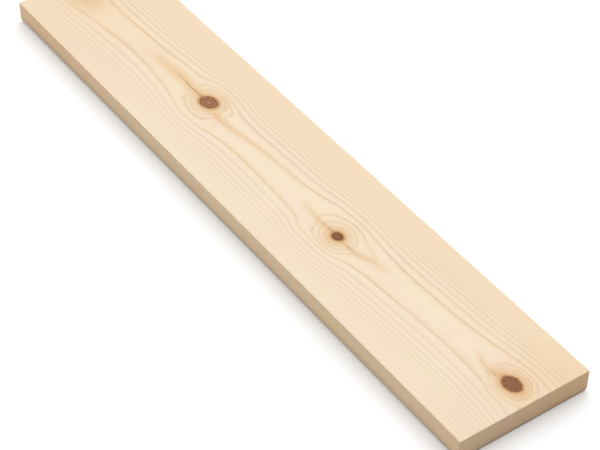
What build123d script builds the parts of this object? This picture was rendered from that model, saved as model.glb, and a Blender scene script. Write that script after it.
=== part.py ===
from build123d import *
import os

# Planed softwood plank, lying on its back face. Millimetres.
# The origin is at the middle of the back face, on the ground. +X runs along
# the grain to the end nearest the viewer, +Y to the right long edge and +Z
# up through the planed face.

# Driving sizes
board_length = 630.0        # cut length, end to end
board_width = 120.0         # planed width
board_thickness = 20.0      # planed thickness
face_arris_radius = 0.8     # the planer only breaks the two arrises of the face
back_arris_radius = 3.5     # the two arrises of the back are rounded over
end_arris_ease = 0.4        # the sawn ends have their sharp rims just taken off

# Corners of the planed section, seen along the grain
half_width = board_width / 2
face_corner_y = half_width - face_arris_radius
face_corner_z = board_thickness - face_arris_radius
back_corner_y = half_width - back_arris_radius
back_corner_z = back_arris_radius


def planed_section():
    """The section that leaves the planer: flat faces, and one arc at each arris."""
    with BuildSketch(Plane.YZ) as section:
        with BuildLine():
            Line((-back_corner_y, 0), (back_corner_y, 0))
            RadiusArc((back_corner_y, 0), (half_width, back_corner_z), -back_arris_radius)
            Line((half_width, back_corner_z), (half_width, face_corner_z))
            RadiusArc((half_width, face_corner_z), (face_corner_y, board_thickness), -face_arris_radius)
            Line((face_corner_y, board_thickness), (-face_corner_y, board_thickness))
            RadiusArc((-face_corner_y, board_thickness), (-half_width, face_corner_z), -face_arris_radius)
            Line((-half_width, face_corner_z), (-half_width, back_corner_z))
            RadiusArc((-half_width, back_corner_z), (-back_corner_y, 0), -back_arris_radius)
        make_face()
    return section.sketch


def sawn_to_length(section):
    """The planed stock, cut square at both ends about the middle of its length."""
    return extrude(section, amount=board_length / 2, both=True)


def ease_ends(stock):
    """Take the sharp rim off each sawn end, all round the section."""
    end_faces = stock.faces().sort_by(Axis.X)
    rims = end_faces[0].edges() + end_faces[-1].edges()
    return chamfer(rims, length=end_arris_ease)


def main():
    plank = ease_ends(sawn_to_length(planed_section()))
    plank.label = "plank"
    os.makedirs("parts", exist_ok=True)
    export_step(plank, "parts/plank.step")


main()
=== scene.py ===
import math

import bmesh
import bpy
from mathutils import Euler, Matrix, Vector


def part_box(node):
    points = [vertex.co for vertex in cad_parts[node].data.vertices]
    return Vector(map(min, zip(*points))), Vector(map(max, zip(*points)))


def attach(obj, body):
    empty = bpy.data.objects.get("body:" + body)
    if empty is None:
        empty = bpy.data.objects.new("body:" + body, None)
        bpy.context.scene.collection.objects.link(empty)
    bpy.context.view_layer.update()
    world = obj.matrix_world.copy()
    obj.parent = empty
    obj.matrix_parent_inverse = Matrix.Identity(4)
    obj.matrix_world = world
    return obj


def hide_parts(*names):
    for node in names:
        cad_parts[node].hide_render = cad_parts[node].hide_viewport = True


# A planed softwood plank lying on its back face on a white floor.
# Blender works in metres here; the wood's figure is worked out in millimetres.

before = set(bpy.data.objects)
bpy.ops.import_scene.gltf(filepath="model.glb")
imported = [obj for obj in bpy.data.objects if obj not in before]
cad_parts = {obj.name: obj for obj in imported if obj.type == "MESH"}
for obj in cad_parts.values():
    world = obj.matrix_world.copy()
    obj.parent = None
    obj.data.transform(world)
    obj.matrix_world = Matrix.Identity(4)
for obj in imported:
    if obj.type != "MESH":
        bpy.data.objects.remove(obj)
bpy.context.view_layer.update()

mm = 0.001
low, high = (Vector(corner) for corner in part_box("plank"))
boardSize = high - low
length, width, thick = (side / mm for side in boardSize)    # in millimetres


def linear(hexColour):
    # sRGB hex to the linear colour that the shaders want
    parts = [int(hexColour[i:i + 2], 16) / 255 for i in (1, 3, 5)]
    return tuple(p / 12.92 if p <= 0.04045 else ((p + 0.055) / 1.055) ** 2.4 for p in parts) + (1,)


def addNode(tree, kind, inputs=(), points=None, **settings):
    # one node with its settings and links; gives back its first working output
    node = tree.nodes.new("ShaderNode" + kind)
    for name, value in settings.items():
        setattr(node, name, value)
    if not isinstance(inputs, dict):
        inputs = dict(zip([i for i, s in enumerate(node.inputs) if s.enabled], inputs))
    for key, value in inputs.items():
        if isinstance(value, bpy.types.NodeSocket):
            tree.links.new(value, node.inputs[key])
        else:
            node.inputs[key].default_value = value
    if kind == "FloatCurve":
        curve = node.mapping.curves[0]
        while len(curve.points) < len(points):
            curve.points.new(0.5, 0.5)
        for point, place in zip(curve.points, points):
            point.location = place
        node.mapping.update()
    if kind == "ValToRGB":
        stops = node.color_ramp.elements
        while len(stops) < len(points):
            stops.new(0.5)
        for stop, (place, colour) in zip(stops, points):
            stop.position, stop.color = place, linear(colour)
    return next((output for output in node.outputs if output.enabled), None)


# camera, fitted to the plank's own edges in the photograph
camera = {
    "lens": 112.54,
    "sensorWidth": 36,
    "place": (0.9484, -0.6498, 1.0079),
    "turn": (47.55, -0.44, 54.90),          # degrees about X, Y, Z
}

cameraData = bpy.data.cameras.new("photoCamera")
cameraData.lens = camera["lens"]
cameraData.sensor_width = camera["sensorWidth"]
cameraData.sensor_fit = "HORIZONTAL"
cameraObject = bpy.data.objects.new("photoCamera", cameraData)
cameraObject.location = camera["place"]
cameraObject.rotation_euler = Euler([math.radians(a) for a in camera["turn"]])
bpy.context.collection.objects.link(cameraObject)
bpy.context.scene.camera = cameraObject
print("camera placed")

# floor, lamp and world
white = (1, 1, 1, 1)
studio = {
    "floorSide": 30.0,
    "floorColour": "#f6f8f9",
    "floorLift": 0.175,                     # a glow that lights nothing, so the bare floor reads as white
    "worldLight": 0.40,                     # what the world sheds on the board; it is seen as white
    "sunEnergy": 2.36,
    "sunSpread": 80,                        # degrees across: a big soft box overhead
    "sunFrom": (-0.48, 0.41, 0.88),         # the way from the plank to the soft box
}


def seenDirectly(tree):
    # 1 where something is looked at, also in a reflection or through glass, 0 where it only sheds light
    path = addNode(tree, "LightPath").node.outputs
    seen = addNode(tree, "Math", [path["Is Camera Ray"], path["Is Glossy Ray"]], operation="MAXIMUM")
    return addNode(tree, "Math", [seen, path["Is Transmission Ray"]], operation="MAXIMUM")


def addFloor():
    bpy.ops.object.select_all(action="DESELECT")
    bpy.ops.mesh.primitive_plane_add(size=studio["floorSide"], location=(0, 0, low.z))
    floor = bpy.context.object
    floor.name = "floor"
    bpy.ops.object.transform_apply(location=True, rotation=False, scale=False)
    # matt white paper: no gloss, and the board's soft shadow stays on it
    paper = bpy.data.materials.new("whitePaperFloor")
    paper.use_nodes = True
    tree = paper.node_tree
    tree.nodes.clear()
    lift = addNode(tree, "Math", [seenDirectly(tree), studio["floorLift"]], operation="MULTIPLY")
    matt = addNode(tree, "BsdfDiffuse", {"Color": linear(studio["floorColour"])})
    glow = addNode(tree, "Emission", {"Color": white, "Strength": lift})
    both = addNode(tree, "AddShader", [matt, glow])
    addNode(tree, "OutputMaterial", {"Surface": both})
    floor.data.materials.append(paper)


def addSoftBox():
    sunData = bpy.data.lights.new("softBox", "SUN")
    sunData.energy = studio["sunEnergy"]
    sunData.angle = math.radians(studio["sunSpread"])
    sun = bpy.data.objects.new("softBox", sunData)
    sun.rotation_euler = Vector(studio["sunFrom"]).to_track_quat("Z", "Y").to_euler()
    bpy.context.collection.objects.link(sun)


def addWorld():
    world = bpy.data.worlds.new("paleStudio")
    world.use_nodes = True
    tree = world.node_tree
    tree.nodes.clear()
    strength = addNode(tree, "MapRange", [seenDirectly(tree), 0.0, 1.0, studio["worldLight"], 1.0])
    light = addNode(tree, "Background", {"Color": white, "Strength": strength})
    addNode(tree, "OutputWorld", {"Surface": light})
    bpy.context.scene.world = world


addFloor()
addSoftBox()
addWorld()
bpy.context.scene.view_settings.view_transform = "Standard"
print("floor, soft box and world ready")

# The wood: flat-sawn spruce, planed. Pale cream earlywood, tan latewood lines that
# fade in slowly and end sharply, red-brown branch knots that the grain flows round,
# and orange resin-rich wood where a branch began. Lengths are millimetres: along is
# measured from the near end, across from the left edge, up from the ground.
#
# First its noises: how many patches there are to a millimetre along, across and up,
# how many finer sizes lie over them (detail), which part of the noise is used and what
# that becomes. A soft one eases from the one to the other.
noises = {
    "waver": {"patches": (1 / 70, 1 / 16, 1 / 16), "used": (0, 1), "becomes": (-0.12, 0.12)},
    "bends": {"patches": (1 / 8, 1 / 6, 1 / 8), "used": (0.2, 0.8), "becomes": (-0.45, 0.45)},
    "cloud": {"patches": (1 / 90, 1 / 18, 1 / 18), "detail": 3},
    "fine": {"patches": (1 / 12, 1, 1)},
    "shiver": {"patches": (0.16, 0, 0), "used": (0, 1), "becomes": (-0.6, 0.6)},
    "broken": {"patches": (0.5, 0.8, 0.8), "used": (0.35, 0.6), "becomes": (0.45, 1.15), "soft": True},
    "saw": {"patches": (0, 0.9, 0.16), "detail": 3},
    "specks": {"patches": (0, 1.6, 1.6), "detail": 1},
    "ragged": {"patches": (0.15, 0.19, 0.15), "used": (0, 1), "becomes": (0.87, 1.13)},
    "wobble": {"patches": (0.4, 0.4, 0.1)},
    # these two run with the grain, so their middle number is patches to a year ring
    "patchy": {"patches": (1 / 48, 0.8, 1 / 14), "used": (0.3, 0.7), "becomes": (0.72, 1.16)},
    "fibre": {"patches": (1 / 26, 6, 1 / 3), "detail": 3},
    # this one runs round inside a knot, so it is patches to half the knot's size
    "checks": {"patches": (2.6, 2.6, 0), "used": (0.36, 0.52), "becomes": (1, 0), "soft": True},
}


def grain(tree, name, vector):
    # one of the noises, read at this vector
    noise = noises[name]
    patches = addNode(tree, "VectorMath", [vector, noise["patches"]], operation="MULTIPLY")
    cloudy = addNode(tree, "TexNoise", {"Vector": patches, "Scale": 1, "Detail": noise.get("detail", 2)})
    if "becomes" in noise:
        change = "SMOOTHSTEP" if noise.get("soft") else "LINEAR"
        reach = [*noise["used"], *noise["becomes"]]
        cloudy = addNode(tree, "MapRange", [cloudy, *reach], interpolation_type=change)
    return cloudy


def guide(tree, points, value, reach, span=(0, 1)):
    # a line drawn through points and read at this value: the points run over
    # this reach, and span holds the least and the most that they can be
    (start, end), (least, most) = reach, span
    share = addNode(tree, "MapRange", [value, start, end])
    drawn = [((a - start) / (end - start), (b - least) / (most - least)) for a, b in points]
    curve = addNode(tree, "FloatCurve", {"Value": share}, points=drawn)
    return addNode(tree, "MapRange", [curve, 0, 1, least, most])


def addSpots(tree, at, spots, total):
    # adds soft oval spots on the board to the total: along, across, half sizes, amount
    for a, b, sizeA, sizeB, amount in spots:
        offset = addNode(tree, "Mapping", {
            "Vector": at["onFace"],
            "Location": (a, b, 0),
            "Scale": (sizeA, sizeB, 1),
        }, vector_type="TEXTURE")
        squared = addNode(tree, "VectorMath", [offset, offset], operation="DOT_PRODUCT")
        spot = addNode(tree, "Math", [math.exp(-1), squared], operation="POWER")
        total = addNode(tree, "Math", [spot, amount, total], operation="MULTIPLY_ADD")
    return total


# the year rings
growth = {
    "pithDepth": 30.0,                      # the tree's middle runs this far below the back face
    "ringAreaLeft": 301.0,                  # each year's ring adds about this many square mm
    "ringAreaRight": 249.0,
    "sideBlend": 8.0,                       # the two sides meet over this far from the band's middle
    # middle of the widest growth band, as (mm along, mm across)
    "bandMiddle": [(0, 66.1), (100, 63.6), (199, 59.1), (349, 58.4), (498, 58.1), (630, 53.6)],
    # square of the distance from there to the band's two edges, as (mm along, square mm)
    "bandLeft": [
        (0, 543), (27, 345), (50, 247), (75, 208), (125, 225), (165, 252), (180, 288), (191, 380),
        (205, 528), (221, 582), (239, 584), (249, 501), (260, 343), (283, 280), (349, 249), (376, 336),
        (395, 489), (412, 538), (428, 464), (445, 326), (473, 207), (503, 163), (548, 197), (597, 316),
        (630, 395),
    ],
    "bandRight": [
        (0, 592), (20, 637), (50, 553), (75, 459), (100, 417), (150, 422), (175, 479), (199, 569),
        (221, 624), (239, 598), (261, 463), (289, 355), (324, 316), (364, 276), (383, 311), (398, 395),
        (414, 449), (434, 326), (442, 188), (454, 87), (473, 25), (498, -41), (548, -79), (578, -39),
        (630, 148),
    ],
    "bandSpan": (-100, 900),                # the least and the most that those can be
    # places where the rings swell (+) or sink (-) beside a knot: along, across, half sizes, rings
    "eddies": [
        (3, 65.6, 6, 12, 0.4), (52, 65.6, 12, 9, 0.5),
        (190, 60.6, 12, 6, -0.25), (197, 47.7, 9, 9, 0.25), (245, 48.7, 10, 6, 0.9), (252, 59.6, 8, 7, 0.7),
        (383, 62.6, 12, 7, 0.5), (389, 49.7, 8, 6, 0.9), (394, 68.6, 7, 6, -0.6),
        (442, 62.6, 10, 9, 1.3), (460, 61.6, 8, 6, 0.25), (581, 54.6, 9, 9, 0.3),
    ],
}
fullDepth = thick + growth["pithDepth"]     # from the pith to the planed face

# how far in from a sawn end and from a long edge its own look stops, in mm
skin = {"onEnd": (0.05, 0.30), "onEdge": (0.10, 0.60)}


def readPlace(tree):
    # the place in the board, in millimetres from its near left bottom corner, and masks of
    # its sawn ends and long edges; all that the later steps share is kept in this dictionary
    objectPlace = addNode(tree, "TexCoord").node.outputs["Object"]
    place = addNode(tree, "Mapping", {
        "Vector": objectPlace,
        "Location": (high.x / mm, -low.y / mm, -low.z / mm),
        "Scale": (-1 / mm, 1 / mm, 1 / mm),
    })
    parts = addNode(tree, "SeparateXYZ", [place]).node.outputs
    along, across = parts["X"], parts["Y"]
    at = {"place": place, "along": along, "across": across, "up": parts["Z"]}
    at["onFace"] = addNode(tree, "VectorMath", [place, (1, 1, 0)], operation="MULTIPLY")
    toFarEnd = addNode(tree, "Math", [length, along], operation="SUBTRACT")
    toEnd = addNode(tree, "Math", [along, toFarEnd], operation="MINIMUM")
    toRightEdge = addNode(tree, "Math", [width, across], operation="SUBTRACT")
    toEdge = addNode(tree, "Math", [across, toRightEdge], operation="MINIMUM")
    for name, distance in (("onEnd", toEnd), ("onEdge", toEdge)):
        reach = [*skin[name], 1, 0]
        at[name] = addNode(tree, "MapRange", [distance, *reach], interpolation_type="SMOOTHSTEP")
    at["toEdge"] = toEdge
    return at


def growRings(tree, at):
    # rings counted outwards from the widest band: the area round the pith, less the area
    # inside the band, over one ring's area
    along, across = at["along"], at["across"]
    middle = guide(tree, growth["bandMiddle"], along, (0, length), (0, width))
    bandLeft = guide(tree, growth["bandLeft"], along, (0, length), growth["bandSpan"])
    bandRight = guide(tree, growth["bandRight"], along, (0, length), growth["bandSpan"])
    aside = addNode(tree, "Math", [across, middle], operation="SUBTRACT")
    fromPith = addNode(tree, "Math", [at["up"], growth["pithDepth"]], operation="ADD")
    area = addNode(tree, "Math", [fromPith, fromPith, -fullDepth ** 2], operation="MULTIPLY_ADD")
    area = addNode(tree, "Math", [aside, aside, area], operation="MULTIPLY_ADD")
    leftRings = addNode(tree, "Math", [area, bandLeft], operation="SUBTRACT")
    leftRings = addNode(tree, "Math", [leftRings, growth["ringAreaLeft"]], operation="DIVIDE")
    # past the far knot the band reaches two whole rings further out on the right
    toJump = addNode(tree, "Math", [knots["farKnot"]["place"][0], along], operation="SUBTRACT")
    jump = addNode(tree, "Math", [toJump], operation="SIGN")
    rightRings = addNode(tree, "Math", [area, bandRight], operation="SUBTRACT")
    perRing = 1 / growth["ringAreaRight"]
    rightRings = addNode(tree, "Math", [rightRings, perRing, jump], operation="MULTIPLY_ADD")
    blend = growth["sideBlend"]
    toRight = addNode(tree, "MapRange", [aside, -blend, blend], interpolation_type="SMOOTHSTEP")
    rings = addNode(tree, "Mix", [toRight, leftRings, rightRings], data_type="FLOAT")
    at["rings"] = addSpots(tree, at, growth["eddies"], rings)
    at["aside"], at["fromPith"] = aside, fromPith


# The knots. size is half the knot's length and width at the face and tilt turns it, rings
# is how many year rings are drawn down to it and how far off that starts, hug is how many
# more lie close against its rim, rim is where its edge fades, halo is how strong the glow
# round it is and how far it reaches, and colours run from its middle to its rim.
knots = {
    "nearKnot": {
        "place": (21.9, 65.2), "size": (9.9, 7.25), "tilt": -5,
        "rings": (2.6, 15.0), "hug": 1.5, "rim": (0.74, 1.16), "halo": (0.68, 4.6),
        "colours": [
            (0, "#ab816e"), (0.05, "#85593f"), (0.45, "#8d5b3a"), (0.68, "#8e592e"), (0.86, "#844a1d"),
            (1.0, "#a26934"),
        ],
    },
    "middleKnot": {
        "place": (218.5, 53.8), "size": (5.55, 4.55), "tilt": -5,
        "rings": (2.9, 22.0), "hug": 1.2, "rim": (0.72, 1.34), "halo": (0.86, 5.8),
        "colours": [
            (0, "#8e6340"), (0.3, "#845630"), (0.6, "#75441b"), (0.85, "#784720"), (1.0, "#95643e"),
        ],
    },
    "farKnot": {
        "place": (414.2, 62.1), "size": (9.6, 7.4), "tilt": -12,
        "rings": (2.6, 14.0), "hug": 1.4, "rim": (0.78, 1.24), "halo": (0.80, 5.2),
        "colours": [
            (0, "#b27c5e"), (0.15, "#ae7858"), (0.30, "#8e5833"), (0.42, "#925b34"), (0.57, "#a46f44"),
            (0.72, "#8c582b"), (0.88, "#905a2c"), (1.0, "#a16b3a"),
        ],
    },
    "lastKnot": {
        "place": (606.9, 56.6), "size": (8.2, 7.0), "tilt": 0,
        "rings": (2.4, 17.0), "hug": 1.4, "rim": (0.82, 1.10), "halo": (0.66, 10.0),
        "colours": [
            (0, "#a3745b"), (0.3, "#8f5f44"), (0.7, "#8c5a36"), (0.9, "#754420"), (1.0, "#8e5c36"),
        ],
    },
}

# what all the knots share
knotWood = {
    "halo": "#dba765",                      # the glow round a knot
    "hugFade": 2.0,                         # mm outside the rim over which the close rings thin out
    "stirFade": 10.0,                       # the same for the short bends in the grain
    "nearest": 3.0,                         # out to so many half sizes, a point belongs to that knot
    "ringTurn": 18.0,                       # its own fine rings: how fast they follow each other
    "ringWobble": 5.0,                      # and how far they stray from round
    "checkWander": 0.55,                    # how much the checks change on their way out
    "checkStart": (0.1, 0.5),               # they begin off the middle, in half sizes
    "shade": {"ownRings": 0.09, "checks": -0.36},   # how much these lighten (+) or darken (-) it
}


def bendRings(tree, at):
    # Branches grow out from the pith, so a knot is thinner further down. Year rings are
    # drawn down to each knot, lie close round it, and bend more there than elsewhere.
    rings, onFace = at["rings"], at["onFace"]
    grown = addNode(tree, "Math", [at["fromPith"], fullDepth], operation="DIVIDE")
    ragged = grain(tree, "ragged", at["place"])
    stir, knotWay = 0.0, None
    at["knots"] = []
    for knot in knots.values():
        (a, b), (pull, reach) = knot["place"], knot["rings"]
        way = addNode(tree, "Mapping", {
            "Vector": onFace,
            "Location": (a, b, 0),
            "Rotation": (0, 0, math.radians(knot["tilt"])),
            "Scale": (*knot["size"], 1),
        }, vector_type="TEXTURE")
        share = addNode(tree, "VectorMath", [way], operation="LENGTH")
        share = addNode(tree, "Math", [share, grown], operation="DIVIDE")       # 1 at the rim
        far = addNode(tree, "VectorMath", [onFace, (a, b, 0)], operation="DISTANCE")
        beyond = addNode(tree, "Math", [share, 1], operation="MAXIMUM")
        atRim = addNode(tree, "Math", [far, beyond], operation="DIVIDE")
        gap = addNode(tree, "Math", [far, atRim], operation="SUBTRACT")         # mm outside the rim
        fall = addNode(tree, "MapRange", [gap, 0, reach, pull ** 0.5, 0])
        fall = addNode(tree, "Math", [fall, fall], operation="MULTIPLY")
        rings = addNode(tree, "Math", [rings, fall], operation="SUBTRACT")
        hug = addNode(tree, "Math", [math.exp(-1 / knotWood["hugFade"]), gap], operation="POWER")
        rings = addNode(tree, "Math", [hug, -knot["hug"], rings], operation="MULTIPLY_ADD")
        close = addNode(tree, "Math", [math.exp(-1 / knotWood["stirFade"]), gap], operation="POWER")
        stir = addNode(tree, "Math", [stir, close], operation="ADD")
        if knotWay is None:
            knotWay = way
        else:
            atKnot = addNode(tree, "Math", [share, knotWood["nearest"]], operation="LESS_THAN")
            knotWay = addNode(tree, "Mix", [atKnot, knotWay, way], data_type="VECTOR")
        rim = addNode(tree, "Math", [share, ragged], operation="MULTIPLY")
        at["knots"].append((knot, rim, gap))
    at["knotWay"] = knotWay

    # a long soft waver, so that no line is ruled, and shorter bends close to the knots
    waver = grain(tree, "waver", at["place"])
    bends = grain(tree, "bends", at["place"])
    waver = addNode(tree, "Math", [bends, stir, waver], operation="MULTIPLY_ADD")
    at["rings"] = addNode(tree, "Math", [rings, waver], operation="ADD")

    # the grain flows along the board, and its place across the board is counted in rings
    flow = addNode(tree, "CombineXYZ", [at["along"], at["rings"], at["up"]])
    at["patchy"] = grain(tree, "patchy", flow)
    at["fibre"] = grain(tree, "fibre", flow)
    at["fine"] = grain(tree, "fine", at["place"])


# the figure: ground colour and growth lines
figure = {
    "early": "#f5e0c9",
    "earlyYellow": "#f4e2c5",
    "cloudEdge": (0.35, 0.65),              # where in the cloudy noise the one turns into the other
    "rightTone": "#f3dbbc",                 # the right-hand side holds slightly older, browner wood
    "rightStart": (74, 108),                # mm across over which it sets in
    "rightRagged": 16,                      # how many mm that strays
    "farStart": (400, 580),                 # mm along over which it sets in towards the far end
    "farMost": 0.75,
    "lateStart": "#e5bd80",                 # latewood where it begins
    "late": "#d0ad7c",                      # latewood where it ends
    "lateOutside": "#ccb38f",               # the same outside the widest band, a little greyer
    "outsideStart": (0, 0.3),               # rings beyond the band over which that sets in
    # how far latewood has come, by the share of the year
    "latewood": [(0, 0), (0.40, 0), (0.70, 0.33), (0.89, 0.93), (0.96, 0.95), (1.0, 0)],
    # how plainly the lines show, by mm from the middle of the widest growth band
    "strength": [
        (-70, 0.12), (-50, 0.21), (-38, 0.31), (-28, 0.33), (-22, 0.36), (-16, 0.50), (-10, 0.48),
        (-6, 0.34), (6, 0.28), (13, 0.60), (18, 0.54), (28, 0.42), (38, 0.27), (48, 0.14), (60, 0.06),
        (70, 0.04),
    ],
    "reach": (-70, 70),
    "allLines": 0.9897,                     # makes every line fainter or plainer
    "onEnds": 0.55,                         # the share of that on the sawn ends
    # places where the lines hardly show: along, across, half sizes, what their share loses
    "calm": [(22, 52.2, 14, 4.5, -0.8)],
}


def paintFigure(tree, at):
    # how plainly a growth line shows at this place
    season = addNode(tree, "Math", [at["rings"]], operation="FRACT")
    latewood = addNode(tree, "FloatCurve", {"Value": season}, points=figure["latewood"])
    strength = guide(tree, figure["strength"], at["aside"], figure["reach"])
    endFade = addNode(tree, "MapRange", [at["onEnd"], 0, 1, 1, figure["onEnds"]])
    calm = addSpots(tree, at, figure["calm"], 1)
    for factor in (figure["allLines"], at["patchy"], endFade, calm):
        strength = addNode(tree, "Math", [strength, factor], operation="MULTIPLY")
    at["lineShare"] = addNode(tree, "Math", [latewood, strength], operation="MULTIPLY")

    # ground colour in broad cloudy patches, browner to the right and to the far end
    cloud = grain(tree, "cloud", at["place"])
    clouds = addNode(tree, "MapRange", [cloud, *figure["cloudEdge"]], interpolation_type="SMOOTHSTEP")
    early = [linear(figure["early"]), linear(figure["earlyYellow"])]
    colour = addNode(tree, "Mix", [clouds, *early], data_type="RGBA")
    right = addNode(tree, "Math", [cloud, figure["rightRagged"], at["across"]], operation="MULTIPLY_ADD")
    right = addNode(tree, "MapRange", [right, *figure["rightStart"]], interpolation_type="SMOOTHSTEP")
    farWay = [*figure["farStart"], 0, figure["farMost"]]
    farEnd = addNode(tree, "MapRange", [at["along"], *farWay], interpolation_type="SMOOTHSTEP")
    older = addNode(tree, "Math", [right, farEnd], operation="MAXIMUM")
    colour = addNode(tree, "Mix", [older, colour, linear(figure["rightTone"])], data_type="RGBA")
    at["cloud"] = cloud

    # the lines over it
    late = [linear(figure["lateStart"]), linear(figure["late"])]
    tone = addNode(tree, "Mix", [latewood, *late], data_type="RGBA")
    beyondBand = addNode(tree, "MapRange", [at["rings"], *figure["outsideStart"]])
    tone = addNode(tree, "Mix", [beyondBand, tone, linear(figure["lateOutside"])], data_type="RGBA")
    return addNode(tree, "Mix", [at["lineShare"], colour, tone], data_type="RGBA")


# the resin-rich vein that joins the knots, with its dark hairline; along the seasoning check that line is
# also painted shade inside the crack
vein = {
    "resin": "#e2b06d",
    # the hairline's colour: a dark line in the wood, and along the seasoning check also painted shade of
    # the crack
    "hairlineAndCrackShade": "#8c5025",
    # where it runs, as (mm along, mm across)
    "path": [
        (0, 61.6), (31, 63.1), (38, 61.8), (45, 61.1), (54, 62.5), (61, 64.6), (140, 62.6), (178, 59.9),
        (189, 56.3), (199, 53.5), (227, 53.9), (242, 53.1), (260, 54.5), (275, 56.6), (299, 67.2),
        (324, 65.8), (344, 63.4), (364, 59.6), (383, 57.0), (396, 57.4), (426, 61.4), (441, 61.0),
        (451, 62.1), (464, 61.9), (488, 60.1), (511, 58.6), (558, 55.6), (597, 51.7),
    ],
    # how strong its stain is, and how wide to each side, in mm
    "stain": [
        (0, 0), (24, 0), (34, 0.42), (48, 0.40), (62, 0.10), (76, 0), (152, 0), (170, 0.36), (184, 0.42),
        (199, 0.42), (211, 0.2), (227, 0.35), (244, 0.47), (257, 0.44), (267, 0.24), (283, 0), (294, 0.05),
        (324, 0.2), (349, 0.34), (384, 0.43), (398, 0.43), (414, 0.3), (430, 0.58), (453, 0.54),
        (478, 0.42), (498, 0.24), (518, 0.04), (534, 0), (630, 0),
    ],
    "stainWidth": [
        (0, 3.0), (160, 4.2), (180, 4.2), (199, 3.0), (244, 3.4), (299, 2.8), (369, 3.2), (423, 5.6),
        (468, 6.0), (518, 5.0), (630, 4.0),
    ],
    "widthSpan": (0, 10),
    # how dark the hairline is; it is strongest along the seasoning check, where it is partly painted shade
    # inside the crack
    "line": [
        (0, 0), (32, 0), (40, 0.18), (50, 0.16), (60, 0), (180, 0), (195, 0.11), (204, 0.24), (211, 0.08),
        (225, 0.20), (240, 0.12), (247, 0), (375, 0), (387, 0.14), (397, 0.15), (402, 0), (422, 0.05),
        (430, 0.44), (443, 0.44), (452, 0.16), (460, 0.13), (470, 0), (630, 0),
    ],
    "lineWidth": 0.75,                      # drawn several times as wide as it is, so that it shows
    "lineDepth": (3, 1),                    # mm below the face where it is gone, and where it is whole
    # stained patches beside the knots: along, across, half sizes, amount
    "patches": [
        (9, 65.6, 7, 8, 0.24), (37, 67.6, 6, 6, 0.28), (588, 53.6, 9, 10, 0.18), (570, 53.6, 18, 14, 0.03),
    ],
    # small dark flecks, in the same way
    "flecks": [
        (41.7, 58.2, 3.2, 0.8, 0.26), (36.3, 60.6, 2.0, 1.2, 0.28),
        (203.2, 53.4, 1.9, 1.5, 0.22), (209.9, 52.7, 1.4, 0.8, 0.15), (226.5, 53.9, 1.6, 1.2, 0.36),
        (230.9, 54.5, 1.4, 1.0, 0.26), (236.3, 53.5, 1.8, 0.8, 0.12),
        (389.5, 57.0, 3.0, 0.7, 0.12), (425.8, 61.2, 1.8, 0.9, 0.34),
    ],
}


def markVein(tree, at, colour):
    along = at["along"]
    path = guide(tree, vein["path"], along, (0, length), (0, width))
    path = addNode(tree, "Math", [path, grain(tree, "shiver", at["place"])], operation="ADD")
    off = addNode(tree, "Math", [at["across"], path], operation="SUBTRACT")
    stainWidth = guide(tree, vein["stainWidth"], along, (0, length), vein["widthSpan"])
    marks = []
    for halfWidth, amounts in ((stainWidth, vein["stain"]), (vein["lineWidth"], vein["line"])):
        near = addNode(tree, "Math", [off, halfWidth], operation="DIVIDE")
        near = addNode(tree, "Math", [near, near], operation="MULTIPLY")
        near = addNode(tree, "Math", [math.exp(-1), near], operation="POWER")
        amount = guide(tree, amounts, along, (0, length))
        marks.append(addNode(tree, "Math", [near, amount], operation="MULTIPLY"))
    stain = addSpots(tree, at, vein["patches"], marks[0])
    stain = addNode(tree, "Math", [stain, at["patchy"]], operation="MULTIPLY")
    # the hairline and its flecks; along the seasoning check this darkening is partly painted shade of the
    # crack
    hairlineAndCrackShade = addSpots(tree, at, vein["flecks"], marks[1])
    heights = [thick - depth for depth in vein["lineDepth"]]
    shallow = addNode(tree, "MapRange", [at["up"], *heights], interpolation_type="SMOOTHSTEP")
    for factor in (grain(tree, "broken", at["place"]), shallow):
        hairlineAndCrackShade = addNode(tree, "Math", [hairlineAndCrackShade, factor], operation="MULTIPLY")
    at["hairlineAndCrackShade"] = hairlineAndCrackShade
    return addNode(tree, "Mix", [stain, colour, linear(vein["resin"])], data_type="RGBA")


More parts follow.
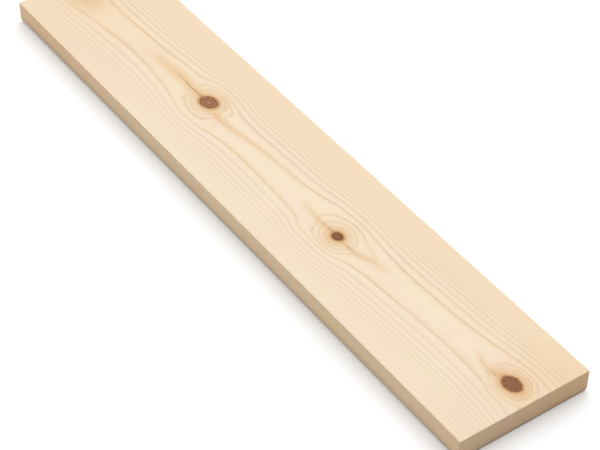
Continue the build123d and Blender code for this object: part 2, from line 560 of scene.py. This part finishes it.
def paintKnots(tree, at, colour):
    # inside a knot: its own fine rings, and checks that run out from its middle
    outward = addNode(tree, "VectorMath", [at["knotWay"]], operation="LENGTH")
    spoke = addNode(tree, "VectorMath", [at["knotWay"]], operation="NORMALIZE")
    wander = (knotWood["checkWander"], knotWood["checkWander"], 0)
    spoke = addNode(tree, "VectorMath", [at["knotWay"], wander, spoke], operation="MULTIPLY_ADD")
    start = knotWood["checkStart"]
    offMiddle = addNode(tree, "MapRange", [outward, *start], interpolation_type="SMOOTHSTEP")
    at["checks"] = addNode(tree, "Math", [grain(tree, "checks", spoke), offMiddle], operation="MULTIPLY")
    wobble = grain(tree, "wobble", at["place"])
    wobble = addNode(tree, "Math", [wobble, knotWood["ringWobble"]], operation="MULTIPLY")
    ownRings = addNode(tree, "Math", [outward, knotWood["ringTurn"], wobble], operation="MULTIPLY_ADD")
    at["ownRings"] = addNode(tree, "Math", [ownRings], operation="SINE")
    shade = 1.0
    for name, amount in knotWood["shade"].items():
        shade = addNode(tree, "Math", [at[name], amount, shade], operation="MULTIPLY_ADD")

    inKnot = 0.0
    for knot, rim, gap in at["knots"]:
        amount, reach = knot["halo"]
        halo = addNode(tree, "Math", [math.exp(-1 / reach), gap], operation="POWER")
        for factor in (amount, at["patchy"]):
            halo = addNode(tree, "Math", [halo, factor], operation="MULTIPLY")
        colour = addNode(tree, "Mix", [halo, colour, linear(knotWood["halo"])], data_type="RGBA")
        inside = addNode(tree, "MapRange", [rim, *knot["rim"], 1, 0], interpolation_type="SMOOTHSTEP")
        core = addNode(tree, "ValToRGB", [rim], points=knot["colours"])
        core = addNode(tree, "VectorMath", [core, shade], operation="SCALE")
        colour = addNode(tree, "Mix", [inside, colour, core], data_type="RGBA")
        inKnot = addNode(tree, "Math", [inKnot, inside], operation="MAXIMUM")
    at["inKnot"] = inKnot
    # the hairline crosses the knots too; along the check it is partly painted shade of the crack
    return addNode(tree, "Mix", [at["hairlineAndCrackShade"], colour, linear(vein["hairlineAndCrackShade"])], data_type="RGBA")


# what the saw and the planer did to the board's outside, with painted shade along its foot and on its long
# edges
outside = {
    # how light the wood is, and how much each noise adds; the fibre is drawn several
    # times coarser than it is, so that it shows
    "planedShade": (0.93, {"fibre": 0.07, "fine": 0.05, "cloud": 0.02}),
    "sawnShade": (0.90, {"saw": 0.10, "specks": 0.10}),
    "nearTint": "#fcf9f6",                  # the wood is a little darker and browner towards the near end
    "nearReach": 70,
    "edgeToneAndShade": "#fcefdf",                  # the long edges are a little browner: partly the wood's own tone, partly painted shade of the shaded sides
    "endTint": "#e7dbce",                   # open end grain drinks the light
    "paintedFootShade": "#cbd4e7",                     # painted shade: a greyish blue darkening of the lower arrises and the ends' foot, where the floor crowds the light
    # how strong that painted shade is, by height, on the long edges and on the ends
    "edgeFootShade": [(0, 0.15), (1.5, 0.3), (3, 0.56), (4.5, 0.50), (6, 0.12), (9, 0), (20, 0)],
    "endFootShade": [(0, 1), (0.8, 0.9), (1.6, 0.55), (2.4, 0.4), (3.6, 0.1), (5, 0), (20, 0)],
    "footShadeReach": (1.5, 3.8),               # mm in from a long edge over which it stops
    # relief: latewood stands proud of the softer earlywood by this many mm, and the rest
    # is measured against that
    "proud": 0.12,
    "relief": {"fibre": 0.35, "fine": 0.25, "checks": -0.4, "hairlineAndCrackShade": -0.4},
    "reliefStrength": 0.7,
    # latewood and knots are denser and take a smoother cut
    "roughness": (0.64, {"lineShare": -0.15, "inKnot": -0.14, "fibre": 0.08, "onEnd": 0.18}),
    "ior": 1.5,
    "mirror": 0.2,                          # most of the reflection is scattered by the cut cells
}


def finishOutside(tree, at, colour):
    # saw marks and open cells show on the ends only
    for name in ("saw", "specks"):
        at[name] = grain(tree, name, at["place"])
    shades = []
    for shade, amounts in (outside["planedShade"], outside["sawnShade"]):
        for name, amount in amounts.items():
            shade = addNode(tree, "Math", [at[name], amount, shade], operation="MULTIPLY_ADD")
        shades.append(shade)
    shade = addNode(tree, "Mix", [at["onEnd"], *shades], data_type="FLOAT")
    colour = addNode(tree, "VectorMath", [colour, shade], operation="SCALE")

    nearWay = [0, outside["nearReach"], 1, 0]
    nearEnd = addNode(tree, "MapRange", [at["along"], *nearWay], interpolation_type="SMOOTHSTEP")
    # painted shade along the foot: low down on the long edges, and at the bottom of the ends
    edgeWay = [*outside["footShadeReach"], 1, 0]
    byEdge = addNode(tree, "MapRange", [at["toEdge"], *edgeWay], interpolation_type="SMOOTHSTEP")
    edgeFootShade = guide(tree, outside["edgeFootShade"], at["up"], (0, thick))
    endFootShade = guide(tree, outside["endFootShade"], at["up"], (0, thick))
    byEdge = addNode(tree, "Math", [byEdge, edgeFootShade], operation="MULTIPLY")
    paintedFootShade = addNode(tree, "Mix", [at["onEnd"], byEdge, endFootShade], data_type="FLOAT")
    # tints multiplied over the colour; the long edges' tint is partly painted shade of the shaded sides
    masks = {"nearTint": nearEnd, "edgeToneAndShade": at["onEdge"], "endTint": at["onEnd"], "paintedFootShade": paintedFootShade}
    for name, mask in masks.items():
        tint = linear(outside[name])
        colour = addNode(tree, "Mix", [mask, colour, tint], data_type="RGBA", blend_type="MULTIPLY")
    return colour


def makePlanedSpruce():
    # Planed spruce, unfinished: matt, with hardly any mirror reflection, because the
    # cut cells scatter the light. Its IOR is that of cellulose.
    material = bpy.data.materials.new("planedSpruce")
    material.use_nodes = True
    tree = material.node_tree
    tree.nodes.clear()
    at = readPlace(tree)
    growRings(tree, at)
    bendRings(tree, at)
    colour = paintFigure(tree, at)
    colour = markVein(tree, at, colour)
    colour = paintKnots(tree, at, colour)
    colour = finishOutside(tree, at, colour)

    height = at["lineShare"]
    for name, amount in outside["relief"].items():
        height = addNode(tree, "Math", [at[name], amount, height], operation="MULTIPLY_ADD")
    sawn = addNode(tree, "Math", [at["saw"], at["specks"]], operation="ADD")
    height = addNode(tree, "Mix", [at["onEnd"], height, sawn], data_type="FLOAT")
    relief = addNode(tree, "Bump", {
        "Height": height,
        "Strength": outside["reliefStrength"],
        "Distance": outside["proud"] * mm,
    })
    roughness, amounts = outside["roughness"]
    for name, amount in amounts.items():
        roughness = addNode(tree, "Math", [at[name], amount, roughness], operation="MULTIPLY_ADD")
    surface = addNode(tree, "BsdfPrincipled", {
        "Base Color": colour,
        "Roughness": roughness,
        "IOR": outside["ior"],
        "Specular IOR Level": outside["mirror"],
        "Normal": relief,
    })
    addNode(tree, "OutputMaterial", {"Surface": surface})
    return material


planedSpruce = makePlanedSpruce()
print("wood material ready")

# the board itself: the first three are each a size and its number of segments
board = {
    "faceArris": (0.8 * mm, 3),
    "backArris": (3.5 * mm, 8),
    "endEase": (0.4 * mm, 2),
    "faceInset": 0.3 * mm,                  # keeps the broad faces flat in shading
    "broadFrom": 30 * mm,                   # a face larger than a square of this side is a broad one
    "smoothUnder": 35,                      # degrees between faces that still shade as one
}

# the seasoning check that runs on from the far knot
crack = {
    # mm along, mm across, half width and depth
    "line": [
        (424.3, 61.1, 0.04, 0.4), (427.8, 61.1, 0.10, 0.7), (431.3, 60.9, 0.11, 0.9),
        (435.8, 61.2, 0.10, 0.9), (439.2, 60.7, 0.11, 0.8), (443.7, 61.1, 0.09, 0.7),
        (447.7, 61.3, 0.09, 0.7), (451.7, 62.1, 0.07, 0.6), (456.2, 61.8, 0.06, 0.5),
        (460.6, 62.2, 0.04, 0.4), (465.1, 61.8, 0.02, 0.2),
    ],
    "proud": 0.2 * mm,                      # how far the cutter stands out of the face
    "floor": 0.02 * mm,                     # half width at the bottom of the cut
}


def onlySelect(piece):
    bpy.ops.object.select_all(action="DESELECT")
    piece.select_set(True)
    bpy.context.view_layer.objects.active = piece


def selectEdges(mesh, wanted):
    # picks the edges whose two ends pass the test together
    bpy.ops.mesh.select_mode(type="EDGE")
    bpy.ops.mesh.select_all(action="DESELECT")
    shape = bmesh.from_edit_mesh(mesh)
    for edge in shape.edges:
        edge.select_set(wanted(edge.verts[0].co, edge.verts[1].co))
    bmesh.update_edit_mesh(mesh)


def makeCrackCutter():
    # a thin wavy wedge, its narrow side down
    line = crack["line"]
    bpy.ops.object.select_all(action="DESELECT")
    bpy.ops.mesh.primitive_cube_add(size=1, location=(0, 0, 0))
    cutter = bpy.context.object
    cutter.name = "crackCutter"
    bpy.ops.object.mode_set(mode="EDIT")
    selectEdges(cutter.data, lambda a, b: abs(a.x - b.x) > 0.5)
    bpy.ops.mesh.subdivide(number_cuts=len(line) - 2)
    bpy.ops.object.mode_set(mode="OBJECT")
    for vertex in cutter.data.vertices:
        station = round((0.5 - vertex.co.x) * (len(line) - 1))
        a, b, halfWidth, depth = (value * mm for value in line[station])
        side = 1 if vertex.co.y > 0 else -1
        if vertex.co.z > 0:
            vertex.co = (high.x - a, low.y + b + side * halfWidth, high.z + crack["proud"])
        else:
            vertex.co = (high.x - a, low.y + b + side * crack["floor"], high.z - depth)
    return cutter


# The faces laid out flat for baking, in strips one above the other: how tall each is, of a
# sheet 1 high. The planed face gets the most room.
sheet = {
    "strips": {"top": 0.40, "back": 0.24, "left": 0.078, "right": 0.078, "ends": 0.10, "crack": 0.03},
    "border": 0.008,
    "gap": 0.009,
    "crackMiddle": 61.1 * mm,               # where the check runs, and how far off its walls may be
    "crackReach": 3 * mm,
    "crackLow": 5 * mm,                     # they lie more than this above the back face
    "crackStart": 420,                      # mm along at which its strip begins, and how long that is
    "crackLong": 55,
    "crackDeep": 2 * mm,                    # how much of its depth there is room for
    "faceSkin": 0.1 * mm,                   # faces this near the top lie in the planed face
    "broadEdge": 4 * mm,                    # broad faces have their middle further in than this
    "endFacing": 0.6,                       # how squarely a face points along the board to be an end's
    "flatFacing": 0.75,                     # the same up or down, for a broad face's border
}


def whichStrip(face):
    middle, normal = face.center, face.normal
    inFace = middle.z > high.z - sheet["faceSkin"]
    nearCrack = abs(middle.y - low.y - sheet["crackMiddle"]) < sheet["crackReach"]
    if abs(normal.x) > sheet["endFacing"]:
        return "ends"
    if nearCrack and low.z + sheet["crackLow"] < middle.z and not inFace:
        return "crack"
    if min(middle.y - low.y, high.y - middle.y) > sheet["broadEdge"]:
        return "top" if inFace else "back"
    if abs(normal.z) > sheet["flatFacing"]:
        return "top" if normal.z > 0 else "back"
    return "left" if normal.y < 0 else "right"


def unfold(mesh):
    edge, gap = sheet["border"], sheet["gap"]
    rows = {}
    start = edge
    for name, tall in sheet["strips"].items():
        rows[name] = (start, tall)
        start += tall + gap
    wide = 1 - 2 * edge
    layer = mesh.uv_layers[0]
    layer.name = "OFBake"
    for face in mesh.polygons:
        name = whichStrip(face)
        base, tall = rows[name]
        for corner in face.loop_indices:
            spot = mesh.vertices[mesh.loops[corner].vertex_index].co
            along = (high.x - spot.x) / boardSize.x
            across = (spot.y - low.y) / boardSize.y
            up = (spot.z - low.z) / boardSize.z
            if name == "ends":
                # the near end on the left half of its strip, the far end on the right
                u = edge + across * (wide - gap) / 2 + (0 if face.center.x > 0 else (wide + gap) / 2)
                v = up
            elif name == "crack":
                # one wall above the other, joined at the bottom of the cut
                u = edge + (along * boardSize.x / mm - sheet["crackStart"]) / sheet["crackLong"] * wide
                wall = 0.5 if face.normal.y > 0 else -0.5
                v = 0.5 + wall * (1 - (high.z - spot.z) / sheet["crackDeep"])
            else:
                u = edge + along * wide
                v = across if name in ("top", "back") else up
            layer.data[corner].uv = (u, base + v * tall)


def makeBoard():
    bpy.ops.object.select_all(action="DESELECT")
    bpy.ops.mesh.primitive_cube_add(size=1, location=(low + high) / 2, scale=boardSize)
    piece = bpy.context.object
    piece.name = "planedBoard"
    bpy.ops.object.transform_apply(location=True, rotation=True, scale=True)
    bpy.ops.object.mode_set(mode="EDIT")
    near = 1e-6                             # closer than this counts as the same place
    arrises = {
        "faceArris": lambda a, b: abs(a.x - b.x) > near and min(a.z, b.z) > high.z - near,
        "backArris": lambda a, b: abs(a.x - b.x) > near and max(a.z, b.z) < low.z + near,
        "endEase": lambda a, b: abs(a.x - b.x) < near and min(abs(a.x - low.x), abs(a.x - high.x)) < near,
    }
    for name, wanted in arrises.items():
        size, segments = board[name]
        selectEdges(piece.data, wanted)
        bpy.ops.mesh.bevel(offset=size, segments=segments, affect="EDGES")

    # a narrow border on each broad face, so that the arrises don't bend its shading
    bpy.ops.mesh.select_mode(type="FACE")
    bpy.ops.mesh.select_all(action="DESELECT")
    shape = bmesh.from_edit_mesh(piece.data)
    for face in shape.faces:
        face.select_set(face.calc_area() > board["broadFrom"] ** 2)
    bmesh.update_edit_mesh(piece.data)
    bpy.ops.mesh.inset(thickness=board["faceInset"], use_individual=True)
    bpy.ops.object.mode_set(mode="OBJECT")

    cutter = makeCrackCutter()
    onlySelect(piece)
    cut = piece.modifiers.new("crackCut", "BOOLEAN")
    cut.operation = "DIFFERENCE"
    cut.solver = "EXACT"
    cut.object = cutter
    bpy.ops.object.modifier_apply(modifier=cut.name)
    bpy.data.objects.remove(cutter)
    bpy.ops.object.shade_smooth_by_angle(angle=math.radians(board["smoothUnder"]))
    unfold(piece.data)
    piece.data.materials.clear()
    piece.data.materials.append(planedSpruce)
    return piece


plankPiece = makeBoard()
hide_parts("plank")
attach(plankPiece, "root")
print("board modelled:", len(plankPiece.data.polygons), "faces")
